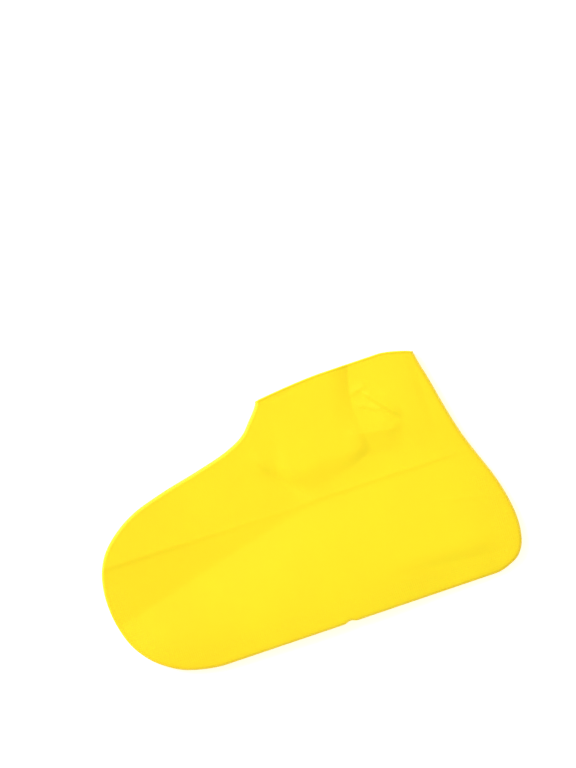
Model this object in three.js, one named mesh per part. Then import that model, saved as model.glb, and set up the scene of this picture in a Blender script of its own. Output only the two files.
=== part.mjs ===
// Overshoe of thin latex, lying flat on its side. Millimetres, +Z up.
// It is one dipped skin: a foot-shaped pocket whose upper and under walls meet in a rolled fold
// along the instep, toe, sole and heel, and whose mouth ends in a small rolled bead.
// +X runs from toe to heel and +Y from sole to mouth. Z = 0 is the surface that it lies on.
import * as THREE from "three";

// Driving sizes
const soleLength = 280; // toe to heel
const coverHeight = 165.4; // sole to the top of the mouth
const lyingHeight = 12.6; // highest fold above the surface
const wallThickness = 1;
const foldRadius = 3.6; // rolled fold round the edge, outside
const foldReach = 3; // how far in from the edge the roll meets the upper wall
const beadDiameter = 1.6; // rolled bead round the mouth

// Edge of the lying cover: up as a share of the skin's height, toe and heel sides as shares of the length
const outlineRows = [
  { up: 0, toe: 0.225, heel: 0.907 },
  { up: 0.0037, toe: 0.1986, heel: 0.925 },
  { up: 0.0147, toe: 0.1636, heel: 0.945 },
  { up: 0.0368, toe: 0.1225, heel: 0.97 },
  { up: 0.0737, toe: 0.0857, heel: 0.9871 },
  { up: 0.1228, toe: 0.0529, heel: 0.9964 },
  { up: 0.1964, toe: 0.0236, heel: 1 },
  { up: 0.2947, toe: 0.0054, heel: 0.9929 },
  { up: 0.3929, toe: 0, heel: 0.9782 },
  { up: 0.4727, toe: 0.0046, heel: 0.9614 },
  { up: 0.5341, toe: 0.0154, heel: 0.9486 },
  { up: 0.5955, toe: 0.0368, heel: 0.9371 },
  { up: 0.6568, toe: 0.0757, heel: 0.9279 },
  { up: 0.709, toe: 0.1286, heel: 0.9211 },
  { up: 0.752, toe: 0.2089, heel: 0.9157 },
  { up: 0.7919, toe: 0.3107, heel: 0.9114 },
  { up: 0.8287, toe: 0.3886, heel: 0.9071 },
  { up: 0.8686, toe: 0.4357, heel: 0.9021 },
  { up: 0.9147, toe: 0.4618, heel: 0.8957 },
  { up: 0.9638, toe: 0.4868, heel: 0.8904 },
  { up: 1, toe: 0.498, heel: 0.8857 },
];
const straightSole = [0.36, 0.77]; // points that keep the sole's edge straight, shares of the length

// Lines across the cover: x as a share of the length, y as a share of the height
const creaseLine = { atToe: 0.5345, atHeel: 0.5065 };
const valleyLine = { atToe: 0.284, atHeel: 0.728 };
const mouthDips = [ // where the mouth's edge falls towards its two corners
  { from: 0.807, to: 0.8857, depth: 0.033 },
  { from: 0.66, to: 0.498, depth: 0.022 },
];

// Levels of the upper wall, as shares of the fullness above the flat folds
const upperLevel = 0.55;
const toeSink = 0.6; // depth of the sunken field below the crease at the toe tip
const creaseStep = { depth: 0.11, reach: 0.014, ends: 0.62 };
const footSwell = {
  height: 0.44, reach: 0.3, evenShare: 0.35, fadeFrom: 0.4, fadeTo: 0.94, toeShare: 0.1, atToe: 0.5,
  inside: 1.05,
};
const soleDrop = { depth: 0.34, reach: 0.19, toeShare: 0.3, toeMore: 1.35 };
const toeDrop = { depth: 0.16, reach: 0.07, up: 0.3 };
const heelDrop = { depth: 0.1, reach: 0.05 };
const heelTrough = {
  depth: 0.3, from: 0.59, to: 0.85, up: 0.17, flank: 0.12, fadeFrom: 0.91, fadeTo: 0.985,
};

// The ankle's swell and its two raised patches, open to the mouth. Values across are shares of the length,
// values up are shares of the height. A patch's foot curves up to both sides of its lowest place.
const ankleSwell = { height: 0.38, from: 0.1, to: 0.46, foot: 0.54, top: 0.92, evenShare: 0.6 };
const anklePanel = {
  height: 0.38, left: 0.455, leftFlank: 0.07, foot: 0.54, footFlank: 0.13,
  lowest: 0.54, leftClimb: 0.1, leftRun: 0.07, rightClimb: 0.05, rightRun: 0.14,
  narrowFrom: 0.6, narrowTo: 0.7, narrow: 0.45,
};
const ankleSide = { at: 0.708, flank: 0.055, bow: 0.016, waist: 0.8, bowReach: 0.16 };
const heelPanel = {
  height: 0.32, left: 0.69, leftFlank: 0.165, right: 0.882, rightFlank: 0.03, fall: 0.25,
  middle: 0.766, foot: 0.7, sag: 1.7, footFlank: 0.1, base: 0.53, baseFlank: 0.24,
};

// Straight folds: two ends, how far they reach to each side (shares of the height), and height
const ridges = [
  { from: [0.48, 0.528], to: [0.96, 0.5195], above: 0.08, below: 0.03, height: 0.08 },
  { from: [0.432, 0.8], to: [0.475, 0.68], above: 0.05, below: 0.05, height: 0.15 },
  { from: [0.47, 0.68], to: [0.56, 0.52], above: 0.073, below: 0.061, height: -0.3 },
  { from: [0.66, 0.73], to: [0.815, 0.685], above: 0.13, below: 0.075, height: 0.3 },
  { from: [0.735, 0.898], to: [0.81, 0.733], above: 0.05, below: 0.03, height: 0.17 },
  { from: [0.62, 0.14], to: [1, 0.075], above: 0.055, below: 0.055, height: -0.07 },
];
const ridgeEnds = 0.3; // share of a fold's run over which it fades in and out

// Fineness of the surface
const foldSteps = 5;
const columnsBetweenFolds = 20;
const rowsBelowCrease = 14;
const rowsAboveCrease = 14;
const outlineSteps = 8;
const beadSteps = 7;
const steepestEdge = 0.25;

// Sizes worked out from those above
const fullness = lyingHeight - 2 * foldRadius;
const beadRadius = beadDiameter / 2;
const beadSeat = Math.sqrt(beadRadius ** 2 - (wallThickness / 2) ** 2);
const skinHeight = coverHeight - beadSeat - beadRadius;
const beadLift = beadRadius - wallThickness / 2; // the bead raises the under wall near the mouth
const beadLiftReach = 0.06 * skinHeight;

const clamp01 = (t) => Math.min(1, Math.max(0, t));
const smooth = (t) => clamp01(t) ** 2 * (3 - 2 * clamp01(t));
const mix = (a, b, t) => a + (b - a) * t;
const quarterArc = (t) => Math.sqrt(1 - (1 - clamp01(t)) ** 2);
const softPositive = (v, rounding) => (v + Math.hypot(v, rounding)) / 2;

// Outline of the lying cover, from the mouth at the instep down round the sole and up the heel
function outlineHalf(side) {
  const along = outlineRows.map((row) => new THREE.Vector3(row[side] * soleLength, row.up * skinHeight, 0));
  const start = new THREE.Vector3(straightSole[side === "toe" ? 0 : 1] * soleLength, 0, 0);
  const curve = new THREE.CatmullRomCurve3([start, ...along], false, "centripetal");
  const points = curve.getPoints(outlineSteps * along.length).slice(outlineSteps);
  return points.map((p) => new THREE.Vector2(p.x, Math.max(0, p.y)));
}
const toeEdge = outlineHalf("toe");
const heelEdge = outlineHalf("heel");

function edgeX(edge, y) {
  const next = Math.max(1, edge.findIndex((p, i) => p.y >= y || i === edge.length - 1));
  const [a, b] = [edge[next - 1], edge[next]];
  return mix(a.x, b.x, clamp01((y - a.y) / (b.y - a.y)));
}

// How far the edge's own direction leans from upright, as the x part of its normal
function edgeNormalX(edge, y) {
  const span = 0.01 * skinHeight;
  const rise = Math.min(y + span, skinHeight) - Math.max(y - span, 0);
  const run = edgeX(edge, Math.min(y + span, skinHeight)) - edgeX(edge, Math.max(y - span, 0));
  return rise / Math.hypot(rise, run);
}

function distanceTo(edge, x, y) {
  let nearest = Infinity;
  for (let i = 1; i < edge.length; i++) {
    const [a, b] = [edge[i - 1], edge[i]];
    const [dx, dy] = [b.x - a.x, b.y - a.y];
    const t = clamp01(((x - a.x) * dx + (y - a.y) * dy) / (dx * dx + dy * dy));
    nearest = Math.min(nearest, Math.hypot(x - a.x - t * dx, y - a.y - t * dy));
  }
  return nearest;
}

const creaseY = (x) => skinHeight * mix(creaseLine.atToe, creaseLine.atHeel, x / soleLength);
const valleyY = (x) => skinHeight * mix(valleyLine.atToe, valleyLine.atHeel, x / soleLength);
function mouthY(x) {
  let drop = 0;
  for (const dip of mouthDips) {
    drop += dip.depth * clamp01((x / soleLength - dip.from) / (dip.to - dip.from)) ** 1.5;
  }
  return skinHeight * (1 - drop);
}

// A row runs across the cover at height v: 0 is the sole, 1 the crease and 2 the mouth
const rowY = (x, v) => (v <= 1 ? v * creaseY(x) : mix(creaseY(x), mouthY(x), v - 1));

// Climbs evenly for the first share of its run, then rounds off level
function swellCurve(t, evenShare) {
  const run = clamp01(t);
  const rounding = (Math.max(0, run - evenShare) ** 2) / (1 - evenShare) / 2;
  return (run - rounding) / (1 - (1 - evenShare) / 2);
}

// A straight fold, highest on its line and falling off to both sides of it
function ridgeHeight(ridge, x, y) {
  const [ax, ay] = [ridge.from[0] * soleLength, ridge.from[1] * skinHeight];
  const [dx, dy] = [ridge.to[0] * soleLength - ax, ridge.to[1] * skinHeight - ay];
  const run = Math.hypot(dx, dy);
  const along = ((x - ax) * dx + (y - ay) * dy) / run ** 2;
  const beside = ((y - ay) * dx - (x - ax) * dy) / run;
  const reach = skinHeight * (beside > 0 ? ridge.above : ridge.below);
  const ends = smooth(along / ridgeEnds) * smooth((1 - along) / ridgeEnds);
  return ridge.height * ends * clamp01(1 - Math.abs(beside) / reach) ** 2;
}

function swellHeight(share, up) {
  const across = smooth((share - ankleSwell.from) / (ankleSwell.to - ankleSwell.from));
  const climb = (up - ankleSwell.foot) / (ankleSwell.top - ankleSwell.foot);
  return ankleSwell.height * across * swellCurve(climb, ankleSwell.evenShare);
}

function anklePanelHeight(share, up) {
  const p = anklePanel;
  const foot = p.foot + p.leftClimb * clamp01((p.lowest - share) / p.leftRun) ** 2
    + p.rightClimb * Math.max(0, (share - p.lowest) / p.rightRun) ** 2;
  const narrow = p.narrow * smooth((share - p.narrowFrom) / (p.narrowTo - p.narrowFrom));
  const rise = smooth((up - foot) / (p.footFlank * (1 - narrow)));
  return p.height * smooth((share - p.left) / p.leftFlank) * rise;
}

// The front of the ankle falls off steeply towards the heel, along a line that bows to the toe
function ankleSideFall(share, up) {
  const at = ankleSide.at + ankleSide.bow * ((up - ankleSide.waist) / ankleSide.bowReach) ** 2;
  return 1 - clamp01(1 - (at - share) / ankleSide.flank) ** 2;
}

function heelPanelHeight(share, up) {
  const p = heelPanel;
  const foot = p.foot - p.sag * (share - p.middle) * (soleLength / skinHeight);
  const rise = smooth((up - foot) / p.footFlank) * smooth((up - p.base) / p.baseFlank);
  const fall = p.fall * (1 - smooth((p.right - share) / p.rightFlank));
  return p.height * rise * smooth((share - p.left) / p.leftFlank) * (1 - fall);
}

function ankleHeight(share, up) {
  const front = Math.max(swellHeight(share, up), anklePanelHeight(share, up)) * ankleSideFall(share, up);
  return Math.max(front, heelPanelHeight(share, up));
}

// Height of the upper wall's outside away from the edge folds
function upperSurface(x, y, toToe, toHeel) {
  const belowCrease = softPositive(creaseY(x) - y, 0.005 * skinHeight);
  const valley = creaseY(x) - softPositive(creaseY(x) - valleyY(x), 0.03 * skinHeight);
  const sinkDepth = Math.min(belowCrease, creaseY(x) - valley) / (creaseY(0) - valleyY(0));
  const belowValley = softPositive(valley - y, 0.015 * skinHeight);
  const share = x / soleLength;

  let level = upperLevel - toeSink * sinkDepth;
  level -= creaseStep.depth * smooth(belowCrease / (creaseStep.reach * skinHeight))
    * (1 - smooth(share / creaseStep.ends));
  level += footSwell.height * swellCurve(belowValley / (footSwell.reach * skinHeight), footSwell.evenShare)
    * (1 - smooth((share - footSwell.fadeFrom) / (footSwell.fadeTo - footSwell.fadeFrom)))
    * mix(footSwell.atToe, footSwell.inside, smooth(share / footSwell.toeShare));
  level -= soleDrop.depth * mix(soleDrop.toeMore, 1, smooth(share / soleDrop.toeShare))
    * clamp01(1 - y / (soleDrop.reach * skinHeight)) ** 2;
  level -= toeDrop.depth * clamp01(1 - toToe / (toeDrop.reach * soleLength)) ** 2
    * smooth(belowCrease / (0.1 * skinHeight)) * smooth(y / (toeDrop.up * skinHeight));
  level -= heelDrop.depth * clamp01(1 - toHeel / (heelDrop.reach * soleLength)) ** 2
    * (1 - smooth((y / skinHeight - 0.5) / 0.18));
  level -= heelTrough.depth * smooth((share - heelTrough.from) / (heelTrough.to - heelTrough.from))
    * (1 - smooth((share - heelTrough.fadeFrom) / (heelTrough.fadeTo - heelTrough.fadeFrom)))
    * smooth((heelTrough.up - y / skinHeight) / heelTrough.flank);
  level += ankleHeight(share, y / skinHeight);
  for (const ridge of ridges) level += ridgeHeight(ridge, x, y);
  return 2 * foldRadius + fullness * level;
}

// Outside of both walls above one point of the lying cover
function wallHeights(x, y) {
  const toToe = distanceTo(toeEdge, x, y);
  const toHeel = distanceTo(heelEdge, x, y);
  const inside = Math.min(toToe, toHeel, y);
  const surface = upperSurface(x, y, toToe, toHeel);
  const lift = beadLift * smooth((y - mouthY(x) + beadLiftReach) / beadLiftReach);
  return {
    upper: foldRadius + (surface - foldRadius) * quarterArc(inside / foldReach),
    under: foldRadius - (foldRadius - lift) * quarterArc(inside / foldRadius),
  };
}

// Steps that crowd towards the edge, so that the fold comes out round
function foldOffsets() {
  const offset = (_, i) => foldReach * (1 - Math.cos((i / foldSteps) * Math.PI / 2));
  return Array.from({ length: foldSteps + 1 }, offset);
}

function rowValues() {
  const below = foldOffsets().map((offset) => offset / creaseY(soleLength / 2));
  const foldEnd = below[below.length - 1];
  for (let i = 1; i <= rowsBelowCrease; i++) below.push(mix(foldEnd, 1, i / rowsBelowCrease));
  for (let i = 1; i <= rowsAboveCrease; i++) below.push(1 + i / rowsAboveCrease);
  return below;
}

// Where a row meets one edge of the outline
function rowEnd(edge, v) {
  let y = rowY(soleLength / 2, v);
  for (let i = 0; i < 8; i++) y = rowY(edgeX(edge, y), v);
  return { x: edgeX(edge, y), stretch: 1 / Math.max(steepestEdge, edgeNormalX(edge, y)) };
}

function rowPositions(v) {
  const [toe, heel] = [rowEnd(toeEdge, v), rowEnd(heelEdge, v)];
  const fromToe = foldOffsets().map((offset) => toe.x + offset * toe.stretch);
  const fromHeel = foldOffsets().map((offset) => heel.x - offset * heel.stretch).reverse();
  const between = Array.from({ length: columnsBetweenFolds - 1 },
    (_, i) => mix(fromToe[foldSteps], fromHeel[0], (i + 1) / columnsBetweenFolds));
  return [...fromToe, ...between, ...fromHeel];
}

// One closed skin: the outside of both walls, the inside offset from it, and the bead that joins them
function coverGeometry() {
  const rows = rowValues();
  const last = { row: rows.length - 1, column: rowPositions(0).length - 1 };
  const positions = [];
  const upper = [];
  const under = [];
  const addPoint = (x, y, z) => positions.push(x, y, z) / 3 - 1;
  rows.forEach((v, row) => {
    upper.push([]);
    under.push([]);
    rowPositions(v).forEach((x, column) => {
      const y = rowY(x, v);
      const onEdge = row === 0 || column === 0 || column === last.column;
      const heights = onEdge ? { upper: foldRadius, under: foldRadius } : wallHeights(x, y);
      upper[row].push(addPoint(x, y, heights.upper));
      under[row].push(onEdge ? upper[row][column] : addPoint(x, y, heights.under));
    });
  });

  const outside = [];
  const addSheet = (grid, flip) => {
    for (let row = 0; row < last.row; row++) {
      for (let column = 0; column < last.column; column++) {
        const [a, b] = [grid[row][column], grid[row][column + 1]];
        const [d, c] = [grid[row + 1][column], grid[row + 1][column + 1]];
        if (flip) outside.push(a, c, b, a, d, c);
        else outside.push(a, b, c, a, c, d);
      }
    }
  };
  addSheet(upper, false);
  addSheet(under, true);

  const skin = new THREE.BufferGeometry();
  skin.setAttribute("position", new THREE.Float32BufferAttribute(positions, 3));
  skin.setIndex(outside);
  skin.computeVertexNormals();
  const pointCount = positions.length / 3;
  const point = (i) => new THREE.Vector3().fromBufferAttribute(skin.attributes.position, i);
  const normal = (i) => new THREE.Vector3().fromBufferAttribute(skin.attributes.normal, i);
  for (let i = 0; i < pointCount; i++) {
    const inner = point(i).addScaledVector(normal(i), -wallThickness);
    addPoint(inner.x, inner.y, inner.z);
  }
  const faces = [...outside];
  for (let i = 0; i < outside.length; i += 3) {
    faces.push(outside[i] + pointCount, outside[i + 2] + pointCount, outside[i + 1] + pointCount);
  }

  const mouth = [...upper[last.row], ...under[last.row].slice(1, -1).reverse()];
  const seatAngle = Math.PI - Math.asin(wallThickness / 2 / beadRadius);
  const beadRings = mouth.map((start) => {
    const out = normal(start);
    const along = new THREE.Vector3(0, 1, 0).addScaledVector(out, -out.y).normalize();
    const centre = point(start).addScaledVector(out, -wallThickness / 2).addScaledVector(along, beadSeat);
    const ring = [start];
    for (let i = 1; i < beadSteps; i++) {
      const angle = seatAngle * (1 - (2 * i) / beadSteps);
      const p = centre.clone().addScaledVector(out, beadRadius * Math.sin(angle));
      p.addScaledVector(along, beadRadius * Math.cos(angle));
      ring.push(addPoint(p.x, p.y, p.z));
    }
    return [...ring, start + pointCount];
  });
  beadRings.forEach((ring, i) => {
    const next = beadRings[(i + 1) % beadRings.length];
    for (let j = 0; j < beadSteps; j++) {
      faces.push(ring[j], next[j], next[j + 1], ring[j], next[j + 1], ring[j + 1]);
    }
  });

  const cover = new THREE.BufferGeometry();
  cover.setAttribute("position", new THREE.Float32BufferAttribute(positions, 3));
  cover.setIndex(faces);
  cover.translate(-soleLength / 2, -coverHeight / 2, 0);
  cover.computeVertexNormals();
  return cover;
}

const yellowLatex = new THREE.MeshStandardMaterial({ color: "#fee92c", roughness: 0.6, metalness: 0 });
const shoeCover = new THREE.Mesh(coverGeometry(), yellowLatex);
shoeCover.name = "shoe_cover";

const group = new THREE.Group();
group.add(shoeCover);

export default group;
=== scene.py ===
import math

import bpy
import numpy as np
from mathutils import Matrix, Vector


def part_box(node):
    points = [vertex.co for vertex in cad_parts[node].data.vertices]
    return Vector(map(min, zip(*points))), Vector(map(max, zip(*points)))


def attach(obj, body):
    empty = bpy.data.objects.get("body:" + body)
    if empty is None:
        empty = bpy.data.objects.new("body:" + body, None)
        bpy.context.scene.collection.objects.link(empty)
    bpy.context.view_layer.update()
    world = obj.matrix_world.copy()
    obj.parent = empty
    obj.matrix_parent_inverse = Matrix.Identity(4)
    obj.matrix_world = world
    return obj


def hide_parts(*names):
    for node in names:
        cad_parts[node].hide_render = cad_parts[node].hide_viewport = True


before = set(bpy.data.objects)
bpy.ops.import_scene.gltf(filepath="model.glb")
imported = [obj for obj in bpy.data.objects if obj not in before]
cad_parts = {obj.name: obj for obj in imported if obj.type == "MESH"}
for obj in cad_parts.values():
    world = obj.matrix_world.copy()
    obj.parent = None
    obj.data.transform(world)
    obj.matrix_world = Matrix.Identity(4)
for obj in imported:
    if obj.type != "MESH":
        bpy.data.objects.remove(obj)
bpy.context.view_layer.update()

# A latex overshoe lying flat on its side. Metres, +X from toe to heel, +Y from sole to mouth, +Z up.

MM = 0.001
PHOTO_WIDTH, PHOTO_HEIGHT = 576, 768

# Sizes taken from the frame and sizes of the thin skin
LOW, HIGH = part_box("shoe_cover")
LENGTH = HIGH.x - LOW.x
HEIGHT = HIGH.y - LOW.y
LYING = HIGH.z - LOW.z
WALL = 1.0 * MM
FOLD_RADIUS = 3.6 * MM
FOLD_REACH = 2.2 * MM
BEAD_RADIUS = 0.8 * MM
BEAD_SEAT = math.sqrt(BEAD_RADIUS ** 2 - (WALL / 2) ** 2)
SKIN = HEIGHT - BEAD_SEAT - BEAD_RADIUS
BEAD_LIFT = BEAD_RADIUS - WALL / 2
FULLNESS = LYING - 2 * FOLD_RADIUS

# Edge of the lying cover: up as a share of the skin's height, toe and heel sides as shares of the length
OUTLINE = [
    {"up": 0, "toe": 0.225, "heel": 0.907},
    {"up": 0.0037, "toe": 0.1986, "heel": 0.925},
    {"up": 0.0147, "toe": 0.1636, "heel": 0.945},
    {"up": 0.0368, "toe": 0.1225, "heel": 0.97},
    {"up": 0.0737, "toe": 0.0857, "heel": 0.9871},
    {"up": 0.1228, "toe": 0.0529, "heel": 0.9964},
    {"up": 0.1964, "toe": 0.0236, "heel": 1},
    {"up": 0.2947, "toe": 0.0054, "heel": 0.9929},
    {"up": 0.3929, "toe": 0, "heel": 0.9782},
    {"up": 0.4727, "toe": 0.0046, "heel": 0.9614},
    {"up": 0.5341, "toe": 0.0154, "heel": 0.9486},
    {"up": 0.5955, "toe": 0.0368, "heel": 0.9371},
    {"up": 0.6568, "toe": 0.0757, "heel": 0.9279},
    {"up": 0.709, "toe": 0.1286, "heel": 0.9211},
    {"up": 0.752, "toe": 0.2089, "heel": 0.9157},
    {"up": 0.7919, "toe": 0.3107, "heel": 0.9114},
    {"up": 0.8287, "toe": 0.3886, "heel": 0.9071},
    {"up": 0.8686, "toe": 0.4357, "heel": 0.9021},
    {"up": 0.9147, "toe": 0.4618, "heel": 0.8957},
    {"up": 0.9638, "toe": 0.4868, "heel": 0.8904},
    {"up": 1, "toe": 0.498, "heel": 0.8857},
]
STRAIGHT_SOLE = {"toe": 0.36, "heel": 0.77}
CREASE = {"toe": 0.5345, "heel": 0.5065}
VALLEY = {"toe": 0.284, "heel": 0.728}
MOUTH_DIPS = [{"from": 0.807, "to": 0.8857, "depth": 0.033}, {"from": 0.66, "to": 0.498, "depth": 0.022}]

# Levels of the upper wall, as shares of the fullness above the flat folds
UPPER_LEVEL = 0.55
TOE_SINK = 0.6
CREASE_STEP = {"depth": 0.11, "reach": 0.014, "ends": 0.62}
FOOT_SWELL = {"height": 0.44, "reach": 0.3, "even": 0.35, "fade_from": 0.4, "fade_to": 0.94,
              "toe": 0.1, "at_toe": 0.5, "inside": 1.05}
SOLE_DROP = {"depth": 0.34, "reach": 0.19, "toe": 0.3, "at_toe": 1.35}
TOE_DROP = {"depth": 0.16, "reach": 0.07, "up": 0.3}
HEEL_DROP = {"depth": 0.1, "reach": 0.05}
HEEL_TROUGH = {"depth": 0.3, "from": 0.59, "to": 0.85, "up": 0.17, "flank": 0.12,
               "fade_from": 0.91, "fade_to": 0.985}

# The ankle's swell and its two raised patches, open to the mouth: across values are shares of the length,
# up values of the height. A patch's foot curves up from its lowest place, and its flare runs out below.
ANKLE_SWELL = {"height": 0.38, "from": 0.1, "to": 0.46, "foot": 0.54, "top": 0.92, "even": 0.6}
ANKLE_PANEL = {"height": 0.38, "left": 0.455, "left_flank": 0.07, "foot": 0.54, "foot_flank": 0.13,
               "lowest": 0.54, "left_climb": 0.1, "left_run": 0.07, "right_climb": 0.05, "right_run": 0.14,
               "narrow_from": 0.6, "narrow_to": 0.7, "narrow": 0.45}
ANKLE_SIDE = {"at": 0.708, "flank": 0.055, "bow": 0.016, "waist": 0.8, "bow_reach": 0.16}
HEEL_PANEL = {"height": 0.32, "left": 0.69, "left_flank": 0.165, "right": 0.882, "right_flank": 0.022,
              "fall": 0.25, "middle": 0.766, "foot": 0.7, "sag": 1.7, "foot_flank": 0.1,
              "base": 0.53, "base_flank": 0.24}

# Straight folds and wrinkles: ends as shares of length and skin height, reach to each side in mm,
# height in mm, and how much of the run fades in and out. They fall off to the sides by the power of 2,
# or by the row's own power.
WRINKLES = [
    {"a": (0.48, 0.528), "b": (0.96, 0.5195), "above": 13, "below": 2.4, "height": 0.34, "fade": 0.25},
    {"a": (0.62, 0.14), "b": (1.0, 0.075), "above": 9, "below": 9, "height": -0.38, "fade": 0.4},
    {"a": (0.432, 0.80), "b": (0.475, 0.68), "above": 8, "below": 8, "height": 0.8, "fade": 0.5},
    {"a": (0.45, 0.72), "b": (0.556, 0.53), "above": 12, "below": 11, "height": -1.5, "fade": 0.45},
    {"a": (0.733, 0.90), "b": (0.815, 0.725), "above": 8, "below": 2.2, "height": 1.35, "fade": 0.25},
    {"a": (0.712, 0.845), "b": (0.783, 0.775), "above": 5, "below": 1.5, "height": 0.55, "fade": 0.3},
    {"a": (0.66, 0.735), "b": (0.812, 0.69), "above": 28, "below": 15, "height": 1.75, "fade": 0.35,
     "power": 1.1},
    {"a": (0.507, 0.965), "b": (0.615, 0.985), "above": 1.5, "below": 1.8, "height": -0.22, "fade": 0.3},
    {"a": (0.704, 0.883), "b": (0.762, 0.906), "above": 7, "below": 4.5, "height": 0.65, "fade": 0.4},
    {"a": (0.765, 0.69), "b": (0.82, 0.73), "above": 7, "below": 9, "height": 0.35, "fade": 0.45},
    {"a": (0.794, 0.372), "b": (0.966, 0.309), "above": 5, "below": 2.5, "height": 0.16, "fade": 0.3},
]

# A small pinch in the sole's edge, and the moulded grip along the sole, toe and heel
SOLE_PINCH = {"at": 0.541, "half": 0.018, "depth": 1.3 * MM, "reach": 7 * MM}
GRIP = {"band": 20 * MM, "fade": 9 * MM, "pitch": 2.0 * MM}
# Width of the band along the folded edge where the colour is painted deeper and more orange as shade
PAINTED_SHADE_EDGE_BAND = 5 * MM

# Grid of the skin: the inside has a third of the outside's columns and rows
COARSEN = 3
FOLD_STEPS = 12
COLUMNS_BETWEEN = 240
ROWS_BELOW = 60
ROWS_ABOVE = 84
BEAD_STEPS = 10
STEEPEST_EDGE = 0.25


def smooth(t):
    t = np.clip(t, 0, 1)
    return t * t * (3 - 2 * t)


def mix(a, b, t):
    return a + (b - a) * t


def quarter_arc(t):
    return np.sqrt(1 - (1 - np.clip(t, 0, 1)) ** 2)


def soft_positive(v, rounding):
    return (v + np.hypot(v, rounding)) / 2


def catmull_rom(points, steps):
    """A centripetal curve through the points, with its first stretch left out."""
    p = np.array(points, float)
    p = np.vstack([2 * p[0] - p[1], p, 2 * p[-1] - p[-2]])
    out = []
    for i in range(2, len(p) - 2):
        knots = [0.0]
        for k in range(i - 1, i + 2):
            knots.append(knots[-1] + math.sqrt(np.linalg.norm(p[k + 1] - p[k])))
        t0, t1, t2, t3 = knots
        for t in np.linspace(t1, t2, steps, endpoint=False):
            a1 = ((t1 - t) * p[i - 1] + (t - t0) * p[i]) / (t1 - t0)
            a2 = ((t2 - t) * p[i] + (t - t1) * p[i + 1]) / (t2 - t1)
            a3 = ((t3 - t) * p[i + 1] + (t - t2) * p[i + 2]) / (t3 - t2)
            b1 = ((t2 - t) * a1 + (t - t0) * a2) / (t2 - t0)
            b2 = ((t3 - t) * a2 + (t - t1) * a3) / (t3 - t1)
            out.append(((t2 - t) * b1 + (t - t1) * b2) / (t2 - t1))
    out.append(p[-2])
    return np.array(out)


def outline_half(side, steps=12):
    points = [(STRAIGHT_SOLE[side] * LENGTH, 0)]
    points += [(row[side] * LENGTH, row["up"] * SKIN) for row in OUTLINE]
    half = catmull_rom(points, steps)
    half[:, 1] = np.maximum(half[:, 1], 0)
    return half


TOE_EDGE = outline_half("toe")
HEEL_EDGE = outline_half("heel")


def edge_x(edge, y):
    return float(np.interp(y, edge[:, 1], edge[:, 0]))


def edge_normal_x(edge, y):
    span = 0.01 * SKIN
    above, below = min(y + span, SKIN), max(y - span, 0)
    return (above - below) / math.hypot(above - below, edge_x(edge, above) - edge_x(edge, below))


def distance_to(edge, x, y):
    nearest = np.full(x.shape, np.inf)
    for a, b in zip(edge[:-1], edge[1:]):
        d = b - a
        t = np.clip(((x - a[0]) * d[0] + (y - a[1]) * d[1]) / (d @ d), 0, 1)
        nearest = np.minimum(nearest, np.hypot(x - a[0] - t * d[0], y - a[1] - t * d[1]))
    return nearest


def crease_y(x):
    return SKIN * mix(CREASE["toe"], CREASE["heel"], x / LENGTH)


def valley_y(x):
    return SKIN * mix(VALLEY["toe"], VALLEY["heel"], x / LENGTH)


def mouth_y(x):
    drop = 0
    for dip in MOUTH_DIPS:
        along = (x / LENGTH - dip["from"]) / (dip["to"] - dip["from"])
        drop = drop + dip["depth"] * np.clip(along, 0, 1) ** 1.5
    return SKIN * (1 - drop)


def row_y(x, v):
    """Rows run across the cover: v is 0 along the sole, 1 along the crease and 2 along the mouth."""
    return np.where(v <= 1, v * crease_y(x), mix(crease_y(x), mouth_y(x), v - 1))


def swell_curve(t, even):
    run = np.clip(t, 0, 1)
    rounding = np.maximum(0, run - even) ** 2 / (1 - even) / 2
    return (run - rounding) / (1 - (1 - even) / 2)


def wrinkle_height(w, x, y):
    ax, ay = w["a"][0] * LENGTH, w["a"][1] * SKIN
    dx, dy = w["b"][0] * LENGTH - ax, w["b"][1] * SKIN - ay
    run = math.hypot(dx, dy)
    along = ((x - ax) * dx + (y - ay) * dy) / run ** 2
    beside = ((y - ay) * dx - (x - ax) * dy) / run
    reach = np.where(beside > 0, w["above"], w["below"]) * MM
    ends = smooth(along / w["fade"]) * smooth((1 - along) / w["fade"])
    fall = np.clip(1 - np.abs(beside) / reach, 0, 1)
    return w["height"] * MM * ends * fall ** w.get("power", 2)


def ankle_swell(share, up):
    p = ANKLE_SWELL
    across = smooth((share - p["from"]) / (p["to"] - p["from"]))
    return p["height"] * across * swell_curve((up - p["foot"]) / (p["top"] - p["foot"]), p["even"])


def ankle_panel(share, up):
    p = ANKLE_PANEL
    foot = p["foot"] + p["left_climb"] * np.clip((p["lowest"] - share) / p["left_run"], 0, 1) ** 2
    foot += p["right_climb"] * np.clip((share - p["lowest"]) / p["right_run"], 0, 1.3) ** 2
    narrow = smooth((share - p["narrow_from"]) / (p["narrow_to"] - p["narrow_from"]))
    rise = smooth((up - foot) / (p["foot_flank"] * (1 - p["narrow"] * narrow)))
    return p["height"] * smooth((share - p["left"]) / p["left_flank"]) * rise


def ankle_side(share, up):
    """Falls from 1 to 0 where the front of the ankle ends, along a line that bows to the toe."""
    p = ANKLE_SIDE
    at = p["at"] + p["bow"] * ((up - p["waist"]) / p["bow_reach"]) ** 2
    return 1 - np.clip(1 - (at - share) / p["flank"], 0, 1) ** 2


def heel_panel(share, up):
    p = HEEL_PANEL
    foot = p["foot"] - p["sag"] * (share - p["middle"]) * LENGTH / SKIN
    rise = smooth((up - foot) / p["foot_flank"]) * smooth((up - p["base"]) / p["base_flank"])
    fall = p["fall"] * (1 - smooth((p["right"] - share) / p["right_flank"]))
    return p["height"] * rise * smooth((share - p["left"]) / p["left_flank"]) * (1 - fall)


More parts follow.
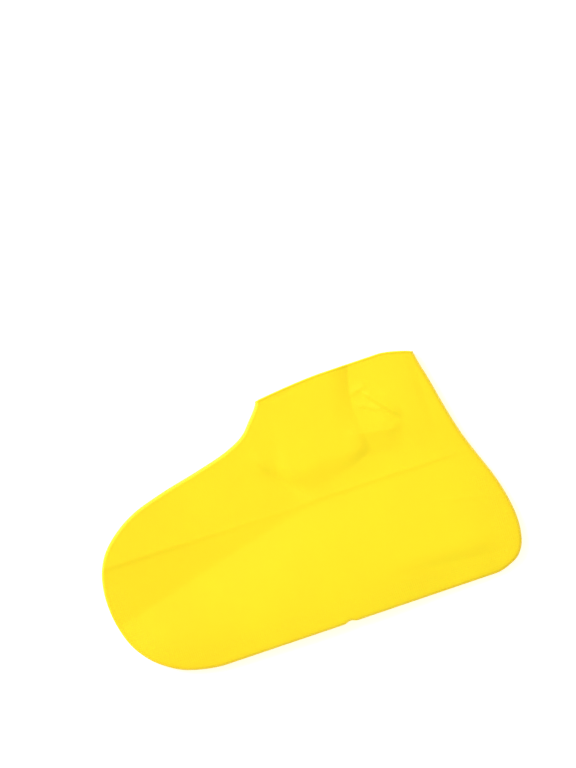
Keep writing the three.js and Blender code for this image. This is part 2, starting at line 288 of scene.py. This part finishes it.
def ankle_height(share, up):
    front = np.maximum(ankle_swell(share, up), ankle_panel(share, up)) * ankle_side(share, up)
    return np.maximum(front, heel_panel(share, up))


def upper_surface(x, y, to_toe, to_heel):
    """Height of the upper wall's outside away from the folds at the edge."""
    below_crease = soft_positive(crease_y(x) - y, 0.003 * SKIN)
    valley = crease_y(x) - soft_positive(crease_y(x) - valley_y(x), 0.03 * SKIN)
    sink_depth = np.minimum(below_crease, crease_y(x) - valley) / (crease_y(0) - valley_y(0))
    below_valley = soft_positive(valley - y, 0.015 * SKIN)
    share = x / LENGTH
    level = UPPER_LEVEL - TOE_SINK * sink_depth
    level -= (CREASE_STEP["depth"] * smooth(below_crease / (CREASE_STEP["reach"] * SKIN))
              * (1 - smooth(share / CREASE_STEP["ends"])))
    foot_swell = swell_curve(below_valley / (FOOT_SWELL["reach"] * SKIN), FOOT_SWELL["even"])
    fade = (share - FOOT_SWELL["fade_from"]) / (FOOT_SWELL["fade_to"] - FOOT_SWELL["fade_from"])
    level += (FOOT_SWELL["height"] * foot_swell * (1 - smooth(fade))
              * mix(FOOT_SWELL["at_toe"], FOOT_SWELL["inside"], smooth(share / FOOT_SWELL["toe"])))
    level -= (SOLE_DROP["depth"] * mix(SOLE_DROP["at_toe"], 1, smooth(share / SOLE_DROP["toe"]))
              * np.clip(1 - y / (SOLE_DROP["reach"] * SKIN), 0, 1) ** 2)
    level -= (TOE_DROP["depth"] * np.clip(1 - to_toe / (TOE_DROP["reach"] * LENGTH), 0, 1) ** 2
              * smooth(below_crease / (0.1 * SKIN)) * smooth(y / (TOE_DROP["up"] * SKIN)))
    level -= (HEEL_DROP["depth"] * np.clip(1 - to_heel / (HEEL_DROP["reach"] * LENGTH), 0, 1) ** 2
              * (1 - smooth((y / SKIN - 0.5) / 0.18)))
    trough = (share - HEEL_TROUGH["from"]) / (HEEL_TROUGH["to"] - HEEL_TROUGH["from"])
    trough_end = (share - HEEL_TROUGH["fade_from"]) / (HEEL_TROUGH["fade_to"] - HEEL_TROUGH["fade_from"])
    level -= (HEEL_TROUGH["depth"] * smooth(trough) * (1 - smooth(trough_end))
              * smooth((HEEL_TROUGH["up"] - y / SKIN) / HEEL_TROUGH["flank"]))
    level += ankle_height(share, y / SKIN)
    surface = 2 * FOLD_RADIUS + FULLNESS * level
    for w in WRINKLES:
        surface += wrinkle_height(w, x, y)
    return surface


def wall_heights(x, y):
    to_toe, to_heel = distance_to(TOE_EDGE, x, y), distance_to(HEEL_EDGE, x, y)
    inside = np.minimum(np.minimum(to_toe, to_heel), y)
    surface = upper_surface(x, y, to_toe, to_heel)
    reach = 0.06 * SKIN
    lift = BEAD_LIFT * smooth((y - mouth_y(x) + reach) / reach)
    upper = FOLD_RADIUS + (surface - FOLD_RADIUS) * quarter_arc(inside / FOLD_REACH)
    under = FOLD_RADIUS - (FOLD_RADIUS - lift) * quarter_arc(inside / FOLD_RADIUS)
    return upper, under, inside


def fold_offsets(steps):
    return [FOLD_REACH * (1 - math.cos(i / steps * math.pi / 2)) for i in range(steps + 1)]


def row_values(coarsen):
    values = [offset / float(crease_y(LENGTH / 2)) for offset in fold_offsets(FOLD_STEPS // coarsen)]
    fold_end = values[-1]
    below, above = ROWS_BELOW // coarsen, ROWS_ABOVE // coarsen
    values += [mix(fold_end, 1, i / below) for i in range(1, below + 1)]
    values += [1 + i / above for i in range(1, above + 1)]
    return values


def row_end(edge, v):
    y = float(row_y(LENGTH / 2, v))
    for _ in range(8):
        y = float(row_y(edge_x(edge, y), v))
    return edge_x(edge, y), 1 / max(STEEPEST_EDGE, edge_normal_x(edge, y))


def row_positions(v, coarsen):
    toe_x, toe_stretch = row_end(TOE_EDGE, v)
    heel_x, heel_stretch = row_end(HEEL_EDGE, v)
    offsets = fold_offsets(FOLD_STEPS // coarsen)
    from_toe = [toe_x + offset * toe_stretch for offset in offsets]
    from_heel = [heel_x - offset * heel_stretch for offset in reversed(offsets)]
    between = np.linspace(from_toe[-1], from_heel[0], COLUMNS_BETWEEN // coarsen + 1)[1:-1]
    return [*from_toe, *between, *from_heel]


def grid(coarsen):
    """Points of the outside of both walls, which share the points along the fold."""
    values = row_values(coarsen)
    x = np.array([row_positions(v, coarsen) for v in values])
    y = row_y(x, np.array(values)[:, None])
    upper, under, inside = wall_heights(x, y)
    grip = smooth((GRIP["band"] - inside) / GRIP["fade"]) * smooth((crease_y(x) - y) / GRIP["band"])
    # The second mark is the painted shade at the folded edge: 1 at the fold, falling to 0 inside the band
    marks = np.stack([grip, smooth(1 - inside / PAINTED_SHADE_EDGE_BAND)], axis=-1)
    pinch = smooth(1 - np.abs(x / LENGTH - SOLE_PINCH["at"]) / SOLE_PINCH["half"])
    y = y + SOLE_PINCH["depth"] * pinch * np.clip(1 - y / SOLE_PINCH["reach"], 0, 1)
    on_fold = np.zeros(x.shape, bool)
    on_fold[0, :] = on_fold[:, 0] = on_fold[:, -1] = True
    upper[on_fold] = FOLD_RADIUS
    count = x.size
    upper_ids = np.arange(count).reshape(x.shape)
    under_ids = upper_ids.copy()
    under_ids[~on_fold] = count + np.arange((~on_fold).sum())
    points = np.column_stack([x.ravel(), y.ravel(), upper.ravel()])
    below = np.column_stack([x[~on_fold], y[~on_fold], under[~on_fold]])
    marks = np.concatenate([marks.reshape(-1, 2), marks[~on_fold]])
    return np.vstack([points, below]), upper_ids, under_ids, marks


def sheet_faces(ids, flip):
    a, b, c, d = ids[:-1, :-1], ids[:-1, 1:], ids[1:, 1:], ids[1:, :-1]
    corners = (a, d, c, b) if flip else (a, b, c, d)
    return np.stack([corner.ravel() for corner in corners], 1)


def point_normals(points, quads):
    normals = np.zeros_like(points)
    face = np.cross(points[quads[:, 2]] - points[quads[:, 0]], points[quads[:, 3]] - points[quads[:, 1]])
    for corner in range(4):
        np.add.at(normals, quads[:, corner], face)
    return normals / np.linalg.norm(normals, axis=1, keepdims=True)


def mouth_ring(upper_ids, under_ids):
    return np.concatenate([upper_ids[-1], under_ids[-1, 1:-1][::-1]])


def bead_points(points, normals, ring):
    """Rings of points round the rolled bead, from the outside of the mouth to its inside."""
    out = normals[ring]
    along = np.array([0, 1, 0]) - out * out[:, 1:2]
    along /= np.linalg.norm(along, axis=1, keepdims=True)
    centre = points[ring] - out * WALL / 2 + along * BEAD_SEAT
    seat = math.pi - math.asin(WALL / 2 / BEAD_RADIUS)
    angles = [seat * (1 - 2 * i / BEAD_STEPS) for i in range(1, BEAD_STEPS)]
    return [centre + BEAD_RADIUS * (math.sin(a) * out + math.cos(a) * along) for a in angles]


def cover_mesh():
    points, upper_ids, under_ids, marks = grid(1)
    outside = np.vstack([sheet_faces(upper_ids, False), sheet_faces(under_ids, True)])
    normals = point_normals(points, outside)
    ring = mouth_ring(upper_ids, under_ids)
    coarse, coarse_upper, coarse_under, _ = grid(COARSEN)
    coarse_faces = np.vstack([sheet_faces(coarse_upper, False), sheet_faces(coarse_under, True)])
    inner = coarse - point_normals(coarse, coarse_faces) * WALL
    rings = bead_points(points, normals, ring)

    first_bead = len(points)
    first_inner = first_bead + len(rings) * len(ring)
    vertices = np.vstack([points, *rings, inner])
    faces = [*outside.tolist(), *(coarse_faces[:, ::-1] + first_inner).tolist()]
    levels = [ring] + [first_bead + i * len(ring) + np.arange(len(ring)) for i in range(len(rings))]
    for one, two in zip(levels[:-1], levels[1:]):
        for i in range(len(ring)):
            j = (i + 1) % len(ring)
            faces.append([one[i], one[j], two[j], two[i]])
    last, inner_ring = levels[-1], mouth_ring(coarse_upper, coarse_under) + first_inner
    for i in range(len(ring)):
        j = (i + 1) % len(ring)
        seat = inner_ring[(i + 1) // COARSEN % len(inner_ring)]
        faces.append([last[i], last[j], seat])
        if i % COARSEN == 1:
            faces.append([last[i], seat, inner_ring[i // COARSEN]])
    marks = np.vstack([marks, np.zeros((len(vertices) - len(points), 2))])
    return vertices - np.array([LENGTH / 2, HEIGHT / 2, 0]), faces, marks


def build_cover():
    vertices, faces, marks = cover_mesh()
    mesh = bpy.data.meshes.new("latex_cover")
    mesh.from_pydata(vertices.tolist(), [], [[int(i) for i in face] for face in faces])
    mesh.validate()
    # The edge attribute carries the painted shade along the folded edge; grip marks the moulded ribs
    for name, values in zip(("grip", "edge"), marks.T):
        mesh.attributes.new(name, "FLOAT", "POINT").data.foreach_set("value", values.copy())
    mesh.shade_smooth()
    cover = bpy.data.objects.new("latex_cover", mesh)
    bpy.context.scene.collection.objects.link(cover)
    return cover


# Painted shade: the base colour is made a little deeper in tone towards the toe and the heel, where the
# light falls off, and deeper and more orange along the folded edge, where shade falls: places in mm from
# the middle of the cover
TOE_PAINTED_SHADE = {"from": -45, "to": -90, "share": 0.9}
HEEL_PAINTED_SHADE = {"from": 90, "to": 132, "share": 0.75}
END_PAINTED_SHADE = (1, 0.962, 0.9, 1)
EDGE_PAINTED_SHADE = (1, 0.93, 0.8, 1)


def math_node(nodes, links, operation, *values):
    node = nodes.new("ShaderNodeMath")
    node.operation = operation
    for i, value in enumerate(values):
        if isinstance(value, (int, float)):
            node.inputs[i].default_value = value
        else:
            links.new(value, node.inputs[i])
    return node.outputs["Value"]


def attribute(nodes, name):
    node = nodes.new("ShaderNodeAttribute")
    node.attribute_name = name
    return node.outputs["Fac"]


def toned(nodes, links, colour, tone, share):
    """The colour times a tone, as far as the share lets it."""
    node = nodes.new("ShaderNodeMix")
    node.data_type = "RGBA"
    node.blend_type = "MULTIPLY"
    node.inputs[7].default_value = tone
    links.new(share, node.inputs[0])
    links.new(colour, node.inputs[6])
    return node.outputs[2]


# Painted shade: a share that rises towards the toe and the heel, where the colour is darkened for the
# light falling off
def toe_and_heel_painted_shade(nodes, links, place):
    split = nodes.new("ShaderNodeSeparateXYZ")
    links.new(place.outputs["Object"], split.inputs["Vector"])
    shares = []
    for tone in (TOE_PAINTED_SHADE, HEEL_PAINTED_SHADE):
        ramp = nodes.new("ShaderNodeMapRange")
        ramp.interpolation_type = "SMOOTHSTEP"
        ramp.inputs["From Min"].default_value = tone["from"] * MM
        ramp.inputs["From Max"].default_value = tone["to"] * MM
        ramp.inputs["To Max"].default_value = tone["share"]
        links.new(split.outputs["X"], ramp.inputs["Value"])
        shares.append(ramp.outputs["Result"])
    return math_node(nodes, links, "MAXIMUM", *shares)


def grip_pattern(nodes, links, place):
    """Small crossed ribs, only where the grip attribute of the mesh lets them through."""
    split = nodes.new("ShaderNodeSeparateXYZ")
    links.new(place.outputs["Object"], split.inputs["Vector"])
    ribs = []
    for operation in ("ADD", "SUBTRACT"):
        across = math_node(nodes, links, operation, split.outputs["X"], split.outputs["Y"])
        turn = math_node(nodes, links, "MULTIPLY", across, math.pi * math.sqrt(2) / GRIP["pitch"])
        ribs.append(math_node(nodes, links, "SINE", turn))
    crossed = math_node(nodes, links, "MULTIPLY", *ribs)
    return math_node(nodes, links, "MULTIPLY", crossed, attribute(nodes, "grip"))


def latex_material():
    material = bpy.data.materials.new("yellow_latex")
    material.use_nodes = True
    nodes, links = material.node_tree.nodes, material.node_tree.links
    shader = nodes["Principled BSDF"]
    shader.inputs["Roughness"].default_value = 0.55
    shader.inputs["Specular IOR Level"].default_value = 0.25
    shader.inputs["Subsurface Weight"].default_value = 0.3
    shader.inputs["Subsurface Radius"].default_value = (1.0, 0.7, 0.15)
    shader.inputs["Subsurface Scale"].default_value = 0.9 * MM
    place = nodes.new("ShaderNodeTexCoord")

    clouds = nodes.new("ShaderNodeTexNoise")
    clouds.inputs["Scale"].default_value = 28
    clouds.inputs["Detail"].default_value = 4
    links.new(place.outputs["Object"], clouds.inputs["Vector"])
    tint = nodes.new("ShaderNodeValToRGB")
    tint.color_ramp.elements[0].position = 0.3
    tint.color_ramp.elements[0].color = (0.985, 0.74, 0.008, 1)
    tint.color_ramp.elements[1].position = 0.7
    tint.color_ramp.elements[1].color = (0.99, 0.763, 0.008, 1)
    links.new(clouds.outputs["Fac"], tint.inputs["Fac"])
    # Painted shade: the colour is made a little deeper towards the toe and the heel
    ends = toe_and_heel_painted_shade(nodes, links, place)
    colour = toned(nodes, links, tint.outputs["Color"], END_PAINTED_SHADE, ends)
    # Painted shade: the colour is made deeper and more orange along the folded edge
    colour = toned(nodes, links, colour, EDGE_PAINTED_SHADE, attribute(nodes, "edge"))
    links.new(colour, shader.inputs["Base Color"])

    grain = nodes.new("ShaderNodeTexNoise")
    grain.inputs["Scale"].default_value = 900
    grain.inputs["Detail"].default_value = 2
    links.new(place.outputs["Object"], grain.inputs["Vector"])
    bump = nodes.new("ShaderNodeBump")
    bump.inputs["Strength"].default_value = 0.25
    bump.inputs["Distance"].default_value = 0.1 * MM
    links.new(grain.outputs["Fac"], bump.inputs["Height"])
    moulded = nodes.new("ShaderNodeBump")
    moulded.inputs["Strength"].default_value = 0.5
    moulded.inputs["Distance"].default_value = 0.12 * MM
    links.new(grip_pattern(nodes, links, place), moulded.inputs["Height"])
    links.new(bump.outputs["Normal"], moulded.inputs["Normal"])
    links.new(moulded.outputs["Normal"], shader.inputs["Normal"])
    return material


def floor_material():
    material = bpy.data.materials.new("pale_floor")
    material.use_nodes = True
    nodes, links = material.node_tree.nodes, material.node_tree.links
    shader = nodes["Principled BSDF"]
    shader.inputs["Roughness"].default_value = 0.8
    shader.inputs["Specular IOR Level"].default_value = 0.1
    shader.inputs["Emission Color"].default_value = (1, 1, 1, 1)
    shader.inputs["Emission Strength"].default_value = 0.38
    mottle = nodes.new("ShaderNodeTexNoise")
    mottle.inputs["Scale"].default_value = 3
    tone = nodes.new("ShaderNodeValToRGB")
    tone.color_ramp.elements[0].color = (0.93, 0.93, 0.93, 1)
    tone.color_ramp.elements[1].color = (0.95, 0.95, 0.95, 1)
    links.new(mottle.outputs["Fac"], tone.inputs["Fac"])
    links.new(tone.outputs["Color"], shader.inputs["Base Color"])
    return material


def build_floor(half=3.0):
    mesh = bpy.data.meshes.new("floor")
    corners = [(-half, -half, 0), (half, -half, 0), (half, half, 0), (-half, half, 0)]
    mesh.from_pydata(corners, [], [(0, 1, 2, 3)])
    floor = bpy.data.objects.new("floor", mesh)
    floor.data.materials.append(floor_material())
    bpy.context.scene.collection.objects.link(floor)
    return floor


# The camera looks straight down, turned by the lie of the cover in the photograph
ROLL = math.radians(18.73)
PIXEL = LENGTH / 415.5
COVER_CENTRE_PIXEL = (295.5, 511.1)
CAMERA_HEIGHT = 1.5
SENSOR_HEIGHT = 24


def build_camera():
    right = (PHOTO_WIDTH / 2 - COVER_CENTRE_PIXEL[0]) * PIXEL
    up = (COVER_CENTRE_PIXEL[1] - PHOTO_HEIGHT / 2) * PIXEL
    data = bpy.data.cameras.new("camera")
    data.sensor_fit = "VERTICAL"
    data.sensor_height = SENSOR_HEIGHT
    data.lens = SENSOR_HEIGHT * CAMERA_HEIGHT / (PHOTO_HEIGHT * PIXEL)
    camera = bpy.data.objects.new("camera", data)
    camera.location = (right * math.cos(ROLL) + up * math.sin(ROLL),
                       up * math.cos(ROLL) - right * math.sin(ROLL), CAMERA_HEIGHT)
    camera.rotation_euler = (0, 0, -ROLL)
    bpy.context.scene.collection.objects.link(camera)
    bpy.context.scene.camera = camera


def area_light(name, location, size, power):
    data = bpy.data.lights.new(name, "AREA")
    data.size = size
    data.energy = power
    light = bpy.data.objects.new(name, data)
    light.location = location
    light.rotation_euler = (-Vector(location)).to_track_quat("-Z", "Y").to_euler()
    bpy.context.scene.collection.objects.link(light)


def build_light():
    world = bpy.data.worlds.new("studio")
    world.use_nodes = True
    world.node_tree.nodes["Background"].inputs["Color"].default_value = (1, 1, 1, 1)
    world.node_tree.nodes["Background"].inputs["Strength"].default_value = 0.7
    bpy.context.scene.world = world
    area_light("key", (-5.2, 6.8, 6.8), 4.0, 820)


cover = build_cover()
cover.data.materials.append(latex_material())
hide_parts("shoe_cover")
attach(cover, "root")

build_floor()
build_camera()
build_light()
bpy.context.scene.view_settings.view_transform = "Standard"
